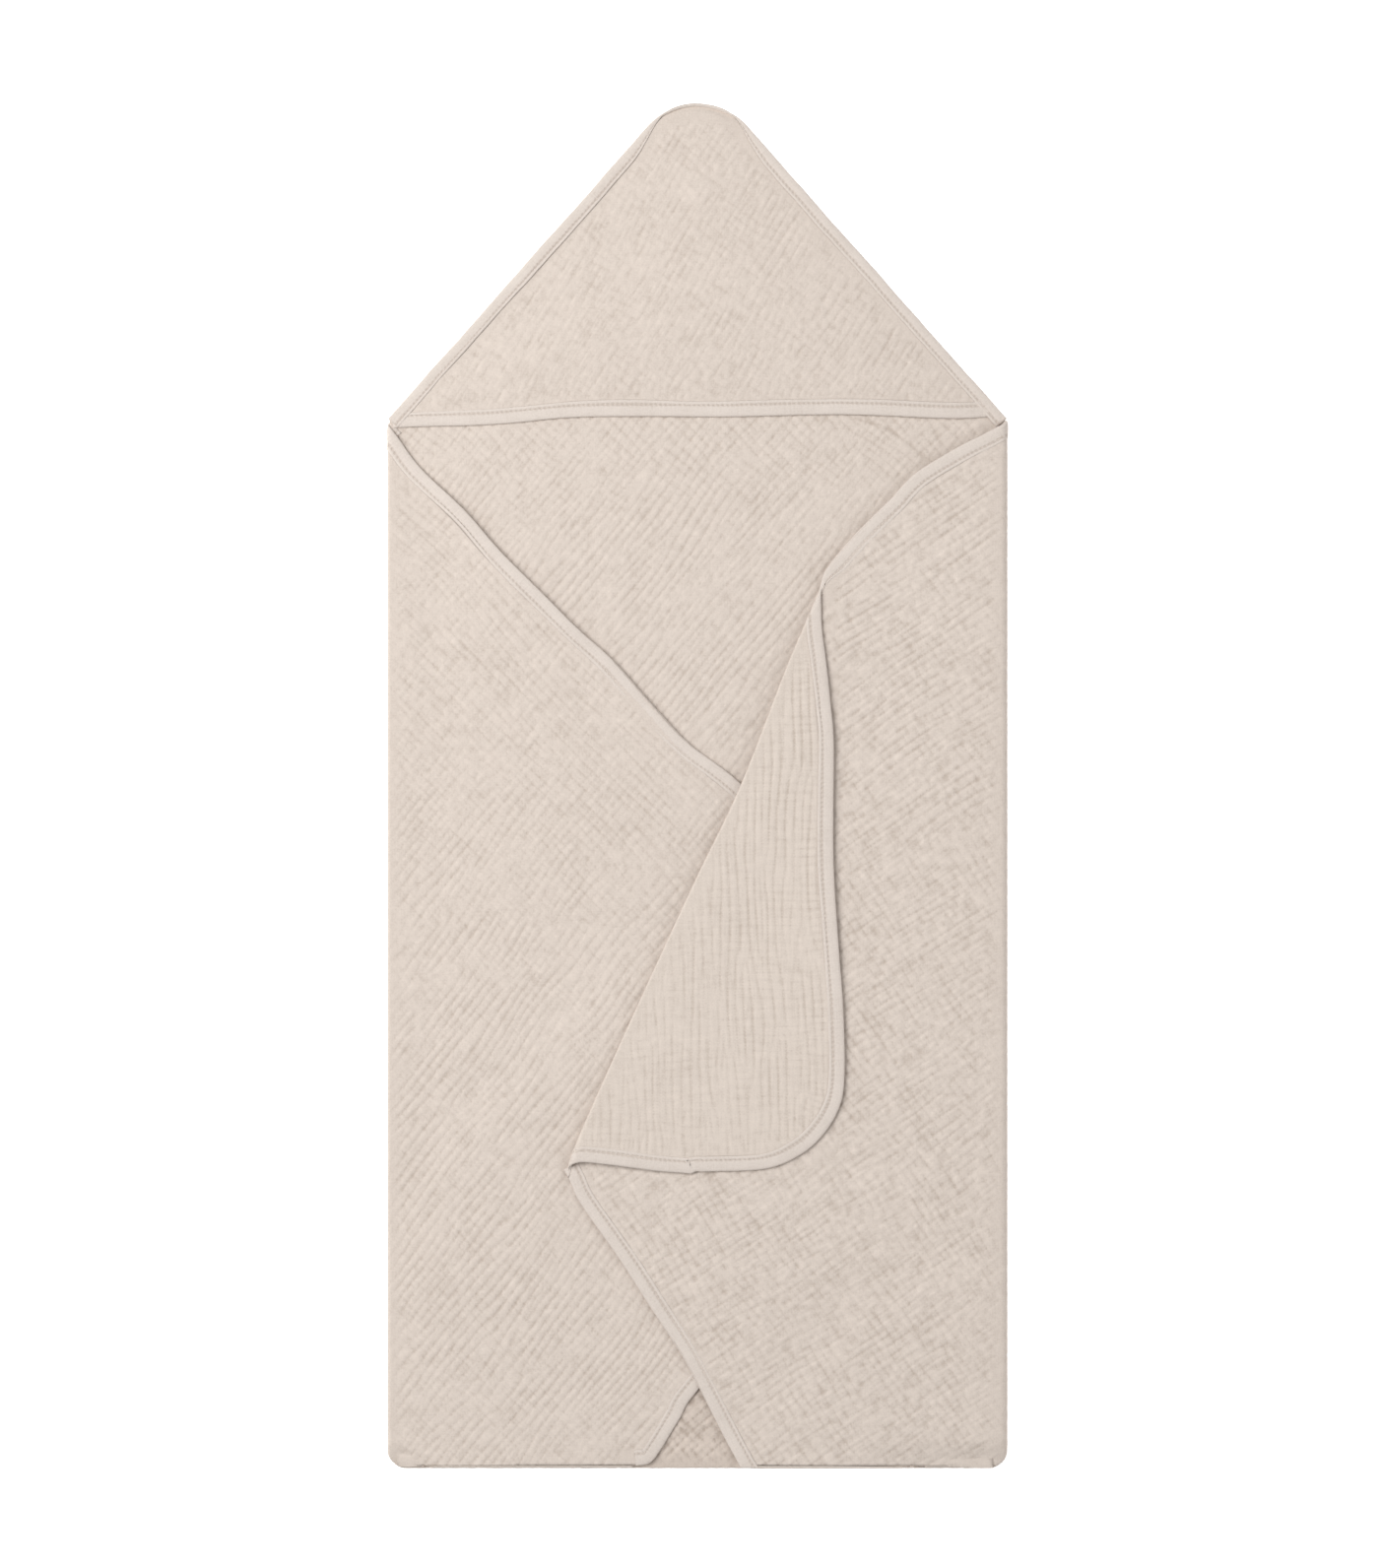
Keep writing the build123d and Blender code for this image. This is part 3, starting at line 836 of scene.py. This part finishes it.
def make_stitches(name, line, normals, layer, core, waves, share, cut):
    """Short rounded stitches between the needle holes, above and below."""
    centre = np.arange(1, len(line) - 1, 2)
    centre = centre[share[centre] > 0.45]
    if cut is not None:
        seam = line[centre] + normals[centre] * SEAM_INSET
        centre = centre[np.abs(cut(seam) - seam).max(axis=1) < 0.2]
    tangent = np.c_[normals[:, 1], -normals[:, 0]]
    along = np.linspace(-0.5, 0.5, 5)
    sink = np.array([-0.2, -0.02, 0.04, -0.02, -0.2])
    girth = np.array([0.55, 1, 1, 1, 0.55]) * STITCH_RADIUS
    sides = np.linspace(0, 2 * math.pi, 6, endpoint=False)
    mesh = Mesh()
    for face in (1, -1):
        reach = SEAM_INSET * (share[centre] if face > 0 else 1.0)
        middle = line[centre] + normals[centre] * np.reshape(reach, (-1, 1))
        foot = layer.place(middle, 0.0)
        up = layer.place(middle, 1.0) - foot
        ahead = layer.place(middle + tangent[centre] * 0.5, 0.0) - foot
        ahead /= np.linalg.norm(ahead, axis=1)[:, None]
        beside = np.cross(up, ahead)
        rings = []
        for part, down, radius in zip(along, sink, girth):
            spine = foot + ahead * part * STITCH_LENGTH
            lift = face * (core + 0.29 + down) + waves[centre]
            for angle in sides:
                out = (lift + radius * math.sin(angle))[:, None]
                rings.append(spine + up * out + beside * radius * math.cos(angle))
        verts = np.stack(rings, axis=1)
        each = len(along) * len(sides)
        faces = []
        for number in range(len(centre)):
            base = number * each
            for ring in range(len(along) - 1):
                for side in range(len(sides)):
                    a = base + ring * len(sides) + side
                    b = base + ring * len(sides) + (side + 1) % len(sides)
                    faces.append((a, b, b + len(sides), a + len(sides)))
            faces.append(tuple(base + side for side in range(len(sides)))[::-1])
            faces.append(tuple(base + each - len(sides) + side for side in range(len(sides))))
        flat = np.repeat(middle, each, axis=0)
        mesh.add(verts.reshape(-1, 3), faces, flat)
    return mesh.piece(name, thread_cotton)


# ---------------------------------------------------------------- materials

class Nodes:
    """A short way to write a material's nodes."""

    def __init__(self, name):
        self.material = bpy.data.materials.new(name)
        self.material.use_nodes = True
        self.tree = self.material.node_tree
        self.shader = self.tree.nodes["Principled BSDF"]

    def new(self, kind, **values):
        """A node with the given settings."""
        node = self.tree.nodes.new(kind)
        for key, value in values.items():
            setattr(node, key, value)
        return node

    def link(self, out, into):
        """Join an output to an input."""
        self.tree.links.new(out, into)

    def maths(self, operation, a, b=None, c=None):
        """One operation on sockets or numbers."""
        node = self.new("ShaderNodeMath", operation=operation)
        for value, socket in zip((a, b, c), node.inputs):
            if value is None:
                continue
            if isinstance(value, (int, float)):
                socket.default_value = value
            else:
                self.link(value, socket)
        return node.outputs[0]

    def noise(self, place, scale, detail=2.0):
        """Noise between 0 and 1."""
        node = self.new("ShaderNodeTexNoise")
        node.inputs["Scale"].default_value = scale
        node.inputs["Detail"].default_value = detail
        self.link(place, node.inputs["Vector"])
        return node.outputs["Fac"]

    def stretched(self, place, scale):
        """A place with each axis scaled on its own."""
        node = self.new("ShaderNodeMapping")
        node.inputs["Scale"].default_value = scale
        self.link(place, node.inputs["Vector"])
        return node.outputs["Vector"]

    def colours(self, value, stops):
        """A colour that runs through the stops with the value."""
        node = self.new("ShaderNodeValToRGB")
        elements = node.color_ramp.elements
        while len(elements) < len(stops):
            elements.new(0.5)
        for element, (at, colour) in zip(elements, stops):
            element.position = at
            element.color = (*colour, 1)
        self.link(value, node.inputs["Fac"])
        return node.outputs["Color"]

    def bump(self, height, distance, strength, under=None):
        """A normal tilted by a height, on top of another normal if one is given."""
        node = self.new("ShaderNodeBump")
        node.inputs["Distance"].default_value = distance
        node.inputs["Strength"].default_value = strength
        self.link(height, node.inputs["Height"])
        if under is not None:
            self.link(under, node.inputs["Normal"])
        return node.outputs["Normal"]


def woven(name, colour, pitch, weave_depth, slub, mottle, roughness, sheen, relief_shade=0.0):
    """Woven cotton: crossing threads of a pitch, thicker and thinner threads, and soft uneven colour.

    The last argument sets painted shade: how much darker the colour is made where the relief attribute is
    low, in the crinkle's valleys and at the binding's holes.
    """
    n = Nodes(name)
    flat = n.new("ShaderNodeUVMap", uv_map="cloth").outputs["UV"]
    split = n.new("ShaderNodeSeparateXYZ")
    n.link(flat, split.inputs[0])
    warp = n.maths("SINE", n.maths("MULTIPLY", split.outputs["X"], 2 * math.pi / pitch))
    weft = n.maths("SINE", n.maths("MULTIPLY", split.outputs["Y"], 2 * math.pi / pitch))
    weave = n.maths("MULTIPLY", warp, weft)
    warp_slub = n.noise(n.stretched(flat, (1400, 90, 1)), 1.0)
    weft_slub = n.noise(n.stretched(flat, (90, 1400, 1)), 1.0)
    slubs = n.maths("ADD", warp_slub, weft_slub)
    cloudy = n.noise(flat, 45, 3)
    fuzz = n.noise(flat, 2600, 2)
    tone = n.maths("MULTIPLY_ADD", slubs, slub, n.maths("MULTIPLY", cloudy, mottle))
    tone = n.maths("MULTIPLY_ADD", fuzz, 0.3, tone)
    grain = n.noise(flat, 900, 2)
    tone = n.maths("MULTIPLY_ADD", grain, 0.6, tone)
    tone = n.maths("MULTIPLY_ADD", weave, 0.05, tone)
    # Painted shade: the colour darkens with the relief attribute, in the crinkle's valleys where shade falls
    if relief_shade:
        relief = n.new("ShaderNodeAttribute", attribute_name="relief").outputs["Fac"]
        tone = n.maths("MULTIPLY_ADD", relief, relief_shade, tone)
    level = slub + 0.5 * mottle + 0.45
    low, high = level - 0.5, level + 0.5
    tone = n.maths("DIVIDE", n.maths("SUBTRACT", tone, low), high - low)
    warm = (colour[0] * 0.80, colour[1] * 0.775, colour[2] * 0.75)
    pale = tuple(min(1.0, c * 1.13) for c in colour)
    n.link(n.colours(tone, [(0.0, warm), (0.5, colour), (1.0, pale)]), n.shader.inputs["Base Color"])
    height = n.maths("MULTIPLY_ADD", slubs, 0.8, weave)
    height = n.maths("MULTIPLY_ADD", fuzz, 0.7, height)
    puffs = n.bump(n.noise(flat, 420, 2), 0.0004, 0.3)
    n.link(n.bump(height, 0.00012, weave_depth, puffs), n.shader.inputs["Normal"])
    rough = n.maths("MULTIPLY_ADD", cloudy, 0.12, roughness - 0.06)
    n.link(rough, n.shader.inputs["Roughness"])
    n.shader.inputs["Specular IOR Level"].default_value = 0.25
    n.shader.inputs["Sheen Weight"].default_value = sheen
    n.shader.inputs["Sheen Roughness"].default_value = 0.5
    return n.material


# For each gauze and the binding, the last value is the strength of its painted shade in the relief's valleys
muslin = woven(
    "muslin_gauze", (0.676, 0.593, 0.527), pitch=0.00075, weave_depth=0.5, slub=0.3, mottle=0.25,
    roughness=0.92, sheen=0.03, relief_shade=1.1,
)
muslin_turned = woven(
    "muslin_turned_corner", (0.680, 0.598, 0.529), pitch=0.0006, weave_depth=0.4, slub=0.35, mottle=0.25,
    roughness=0.9, sheen=0.03, relief_shade=2.0,
)
# A darker copy of the gauze for the bottom tuck: painted shade for where the flaps shade it, with stronger
# painted shade in its valleys
muslin_shaded = woven(
    "muslin_painted_shade", (0.618, 0.532, 0.466), pitch=0.00075, weave_depth=0.5, slub=0.3, mottle=0.25,
    roughness=0.92, sheen=0.03, relief_shade=1.6,
)
binding_cloth = woven(
    "binding_cotton", (0.694, 0.619, 0.560), pitch=0.0004, weave_depth=0.3, slub=0.35, mottle=0.35,
    roughness=0.88, sheen=0.02, relief_shade=0.55,
)
thread_cotton = woven(
    "stitch_thread", (0.69, 0.61, 0.55), pitch=0.0003, weave_depth=0.3, slub=0.2, mottle=0.2,
    roughness=0.7, sheen=0.02,
)


# ---------------------------------------------------------------- the pieces

def make_sheet(name, outline, layer, seams, grids, under, replaced, body, material=muslin,
               tubes=()):
    """One panel of the towel, made as a closed sheet of its flat size."""
    mesh = Mesh()
    add_sheet(mesh, outline, layer, seams, grids, under)
    for fold, low, high in tubes:
        add_tube(mesh, fold, low, high)
    obj = mesh.piece(name, material)
    ride_on(obj, body)
    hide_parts(*replaced)


# Grid steps for cloth in view, and two coarser ones for cloth that is covered or underneath
FINE_STEP = 1.1
PLAIN_STEP = 2.3
COARSE_STEP = 5.0

# Places along the side folds, and the hood's outline inside its binding
left_s = np.linspace(BOTTOM + 1.9, 210, 300)
right_s = np.linspace(BOTTOM + 1.6, 212, 300)
inset_hood = shifted(HOOD_SIDES, -0.7)


def in_open_v(p):
    """Where the left flap doesn't cover the back panel."""
    return distance_inside(p, LEFT_REGION) < 12


def in_bottom_gap(p):
    """Where the bottom tuck shows between the two flaps."""
    return (np.abs(p[:, 0]) < 50) & (p[:, 1] < -335)


def right_shown(p):
    """Where the turned corner doesn't cover the right flap."""
    covered = (p[:, 0] < 82) & (p[:, 1] > -222)
    return ~covered


def left_shown(p):
    """Where the right flap doesn't cover the left flap, short of the left flap's top end."""
    d = turned_fold.split(p)[1]
    below_top = nearest_on(p, RIGHT_LOWER_LINE[::10])[0] < 400
    return (d < 14) & below_top | (p[:, 1] < -228)


# Nested bends and hems under the flaps
def near_bottom(s):
    """Points of the plane just above the towel's bottom edge."""
    return np.c_[s, np.full(np.shape(s), BOTTOM + 3)]


left_wing_hem = Fold(
    (0, 0), (1, 0), (0, 1), constant(BOTTOM + 1.2),
    lambda s: left.height(near_bottom(s)),
    lambda s: stacked(near_bottom(s), TUCK_REGION),
)
right_wing_hem = Fold(
    (0, 0), (1, 0), (0, 1), constant(BOTTOM + 0.7),
    lambda s: right.height(near_bottom(s)),
    lambda s: stacked(near_bottom(s), TUCK_REGION, LEFT_REGION),
)
left_wing_layer = Layer(lambda p: stacked(p, TUCK_REGION), tuck_crinkle, left_wing_hem, 8)
right_wing_layer = Layer(
    lambda p: stacked(p, TUCK_REGION, LEFT_REGION), lambda p: tuck_crinkle(p) * WING_CRINKLE,
    right_wing_hem, 8,
)


def nested(fold, inward):
    """The bend of a wing's cloth inside a side fold."""
    edge = trimmed(-SIDE + 1.5, side_end + 1)
    return Fold((0, 0), (0, 1), inward, edge, constant(BACK_LEVEL + PITCH), lambda s: fold.top(s) - PITCH)


left_inner = nested(left_fold, (1, 0))
right_inner = nested(right_fold, (-1, 0))

# Each panel's outline in its unrolled plane
lower_edge = RIGHT_LOWER_LINE[RIGHT_LOWER_LINE[:, 1] > BOTTOM + 1.5]
tuck_hem = np.linspace(-SIDE + 4, SIDE - 4, 240)
back_outline = outline_of(
    inset_hood, right_fold.hem_line(right_s[::-1]), tuck_fold.hem_line(tuck_hem[::-1]),
    left_fold.hem_line(left_s),
)
tuck_outline = outline_of(shifted(TUCK_LINE, 0.5), tuck_fold.free_line(tuck_hem))
left_outline = outline_of(shifted(LEFT_FLAP_LINE, 0.5), left_fold.free_line(left_s[::-1]))
right_outline = outline_of(
    shifted(RIGHT_UPPER_LINE, 0.5), turned_fold.hem_line(np.linspace(FOLD_END - 2, 0, 220)),
    shifted(lower_edge, 0.5), right_fold.free_line(right_s),
)
turned_outline = outline_of(
    shifted(TURNED_LINE, 0.5), turned_fold.free_line(np.linspace(FOLD_END - 4, 1, 220)),
)
hood_outline = outline_of(inset_hood[::-1], shifted(MOUTH, 0.5))
left_wing_outline = outline_of(
    [(-176, -273), (-176, BOTTOM + 4)], left_wing_layer.fold.free_line(np.linspace(-174, -37, 60)),
)
right_wing_outline = outline_of(
    right_wing_layer.fold.free_line(np.linspace(30, 173, 60)), [(173, BOTTOM + 4), (173, -273)],
)

LEFT_WING_LINE = resample([(-36, -391), (-172, -276)], 1.4)
RIGHT_WING_LINE = resample([(170, -274), (36, -392)], 1.4)


def cut_at_bottom(plan):
    """The lower binding of the right flap stops at the towel's bottom edge."""
    return np.stack([plan[..., 0], np.maximum(plan[..., 1], BOTTOM + 0.9)], -1)


def cut_at_corner_fold(plan):
    """The corner's binding reaches just round its fold."""
    s, d = turned_fold.split(plan)
    radius, centre = turned_fold.shape(s)
    return turned_fold.point(s, np.maximum(d, centre - 0.85 * math.pi * radius))


def narrowed(line):
    """The upper binding of the right flap narrows where it turns under the corner."""
    return 1 - 0.72 * ramp(-line[:, 1], -134, -114)


def cut_at_hood_sides(plan):
    """The mouth's binding is cut along the hood's side seams."""
    limit = SIDE - 5.5 - np.maximum(plan[..., 1] - 214.7, -3) / math.tan(HOOD_SLOPE)
    x = np.clip(plan[..., 0], -limit, limit)
    return np.stack([x, plan[..., 1]], -1)


def hood_share(line):
    """The upper face of the side binding narrows to almost nothing over the tip."""
    x = np.abs(line[:, 0] - 0.8)
    return 0.03 + 0.8 * ramp(x, 14, 46)


# Two bodies and two points for each piece that spans an opening fold, from the fold's lower side to its
# upper side; such a piece is only baked in place, not bent
RIGHT_BLEND = ("root", "right_flap", (0.1775, 0, BACK_LEVEL * MM), (0.1765, 0, 0.0068))
wing_s = np.array([-335.0])
wing_foot = right_inner.foot(wing_s)[0] * MM
wing_top = right_inner.top(wing_s)[0] * MM
WING_BLEND = ("root", "right_flap", (0.1775, 0, wing_foot), (0.1768, 0, wing_top))
fold_reach = turned_fold.shape(np.linspace(0, FOLD_END, 50))[1].max()
turned_start = np.r_[turned_fold.point(150.0, np.array(fold_reach)), FLAP_LEVEL - 0.4] * MM
turned_end = turned_start + np.r_[fold_inward * 1.4, 0.6] * MM
TURNED_BLEND = ("right_flap", "turned_corner", tuple(turned_start), tuple(turned_end))

# Each binding's name, the CAD nodes that it stands for, its outer edge, its layer and its body
trims = {}
for name, nodes, line, layer, body, extra in (
    ("hood_side", "hood_side", HOOD_SIDES[::-1], side_seam, "root", {"core": 1.05, "width": hood_share}),
    ("hood_mouth", "hood_mouth", MOUTH, hood, "root", {"cut": cut_at_hood_sides}),
    ("tuck", "bottom_tuck", TUCK_LINE, tuck, "root", {}),
    ("left_flap", "left_flap", LEFT_FLAP_LINE, left, "root", {}),
    ("left_wing", "left_wing", LEFT_WING_LINE, left_wing_layer, "root", {}),
    ("right_upper", "right_flap_upper", RIGHT_UPPER_LINE, right, RIGHT_BLEND, {"width": narrowed}),
    ("right_lower", "right_flap_lower", RIGHT_LOWER_LINE, right, "right_flap", {"cut": cut_at_bottom}),
    ("right_wing", "right_wing", RIGHT_WING_LINE, right_wing_layer, "right_flap", {}),
    ("turned", "turned_corner", TURNED_LINE, turned, TURNED_BLEND, {"cut": cut_at_corner_fold}),
):
    strip, stitches = make_binding(name, line, layer, body, seed=len(trims) + 1, **extra)
    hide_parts(nodes + "_binding")
    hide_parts(nodes + "_thread")
    trims[name] = [strip, stitches]

make_sheet(
    "back_cloth", back_outline, back, [HOOD_SIDES],
    [(FINE_STEP, in_open_v), (COARSE_STEP, lambda p: ~in_open_v(p))], 2.4, ["back_panel"], "root",
)
# The bottom tuck wears the darker gauze, painted shade between the flaps
make_sheet(
    "tuck_cloth", tuck_outline, tuck, [TUCK_LINE],
    [(1.3, in_bottom_gap), (3.2, lambda p: ~in_bottom_gap(p))], 5.0,
    ["bottom_tuck", "bottom_fold"], "root", muslin_shaded,
)
make_sheet(
    "left_flap_cloth", left_outline, left, [LEFT_FLAP_LINE],
    [(FINE_STEP, left_shown), (PLAIN_STEP, lambda p: ~left_shown(p))], COARSE_STEP,
    ["left_flap", "left_fold"], "root",
)
make_sheet(
    "left_wing_cloth", left_wing_outline, left_wing_layer, [LEFT_WING_LINE], [(3.0, None)], COARSE_STEP,
    ["left_wing", "left_wing_side_fold", "left_wing_hem_fold"], "root",
    tubes=[(left_inner, BOTTOM + 6, -272)],
)
make_sheet(
    "hood_cloth", hood_outline, hood, [HOOD_SIDES, MOUTH], [(FINE_STEP, None)], 3.0, ["hood_panel"], "root",
)
make_sheet(
    "right_flap_cloth", right_outline, right, [RIGHT_UPPER_LINE, RIGHT_LOWER_LINE],
    [(FINE_STEP, right_shown), (PLAIN_STEP, lambda p: ~right_shown(p))], PLAIN_STEP,
    ["right_flap", "right_fold"], RIGHT_BLEND,
)
make_sheet(
    "right_wing_cloth", right_wing_outline, right_wing_layer, [RIGHT_WING_LINE], [(3.0, None)], 3.0,
    ["right_wing", "right_wing_hem_fold", "right_wing_side_fold"], WING_BLEND,
    tubes=[(right_inner, BOTTOM + 6, -272)],
)
make_sheet(
    "turned_corner_cloth", turned_outline, turned, [TURNED_LINE], [(FINE_STEP, None)], PLAIN_STEP,
    ["turned_corner", "corner_fold"], TURNED_BLEND, muslin_turned,
)


# ---------------------------------------------------------------- floor, light and camera

FLOOR_SIZE = 6.0
FLOOR_GAP = 0.0005
FLOOR_GLOW = 0.55
WORLD_LIGHT = 0.335
SENSOR = 36


def make_floor():
    """A white floor that gives back as much light as paper does."""
    mesh = bpy.data.meshes.new("floor")
    corners = [(x * FLOOR_SIZE, y * FLOOR_SIZE, 0) for x, y in ((-1, -1), (1, -1), (1, 1), (-1, 1))]
    mesh.from_pydata(corners, [], [(0, 1, 2, 3)])
    floor = bpy.data.objects.new("floor", mesh)
    floor.location.z = -FLOOR_GAP
    bpy.context.scene.collection.objects.link(floor)
    n = Nodes("white_floor")
    paper = n.noise(n.new("ShaderNodeTexCoord").outputs["Object"], 30)
    white = n.colours(paper, [(0, (0.94, 0.94, 0.94)), (1, (0.96, 0.96, 0.96))])
    n.link(white, n.shader.inputs["Base Color"])
    n.shader.inputs["Roughness"].default_value = 0.9
    n.shader.inputs["Emission Color"].default_value = (1, 1, 1, 1)
    n.shader.inputs["Emission Strength"].default_value = FLOOR_GLOW
    mesh.materials.append(n.material)


def add_light(name, place, size, power):
    """A square white light that faces the towel."""
    light = bpy.data.lights.new(name, "AREA")
    light.size = size
    light.energy = power
    lamp = bpy.data.objects.new(name, light)
    lamp.location = place
    lamp.rotation_euler = (-Vector(place)).to_track_quat("-Z", "Y").to_euler()
    bpy.context.scene.collection.objects.link(lamp)


make_floor()
add_light("key", place=(-1.35, 0.6, 1.75), size=1.7, power=51)
add_light("fill", place=(1.8, -0.5, 1.5), size=2.4, power=17)

world = bpy.data.worlds.new("studio")
world.use_nodes = True
world.node_tree.nodes["Background"].inputs["Color"].default_value = (1, 1, 1, 1)
world.node_tree.nodes["Background"].inputs["Strength"].default_value = WORLD_LIGHT
bpy.context.scene.world = world
bpy.context.scene.view_settings.view_transform = "Standard"

# The camera looks straight down, and its picture is VIEW_HEIGHT tall at the floor
CAMERA_HEIGHT = 2.4
VIEW_HEIGHT = 0.9195
camera = bpy.data.cameras.new("camera")
camera.sensor_width = SENSOR
camera.lens = SENSOR * CAMERA_HEIGHT / VIEW_HEIGHT
camera_object = bpy.data.objects.new("camera", camera)
camera_object.location = (-0.0046, 0.0009, CAMERA_HEIGHT)
bpy.context.scene.collection.objects.link(camera_object)
bpy.context.scene.camera = camera_object
